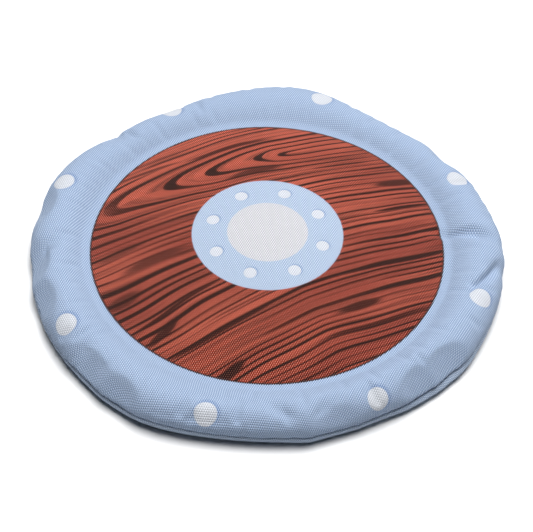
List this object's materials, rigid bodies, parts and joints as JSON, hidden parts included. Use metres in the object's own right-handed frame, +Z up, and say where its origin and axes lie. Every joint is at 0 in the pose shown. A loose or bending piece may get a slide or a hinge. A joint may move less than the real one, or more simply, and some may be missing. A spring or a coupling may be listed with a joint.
{
  "type": "soft toy round shield",
  "caption": "Soft stuffed round play shield with a printed cloth cover: wood-look middle, round boss and blue rim; lies flat.",
  "frame": {"origin": "middle of the flat underside, on the surface the shield lies on", "axes": "+Z up out of the printed face; +X and +Y lie in the shield's plane, with +Y the way the printed boards' grain climbs away from +X"},
  "size_m": [0.352, 0.3514, 0.039],
  "materials": {
    "printed_cloth": "light blue woven polyester canvas, printed with red-brown boards, a blue ring and grey-white rivet heads",
    "plain_cloth": "plain light blue woven polyester canvas"
  },
  "bodies": {
    "root": {"printed_top": "printed_cloth", "underside_panel": "plain_cloth"}
  },
  "joints": []
}
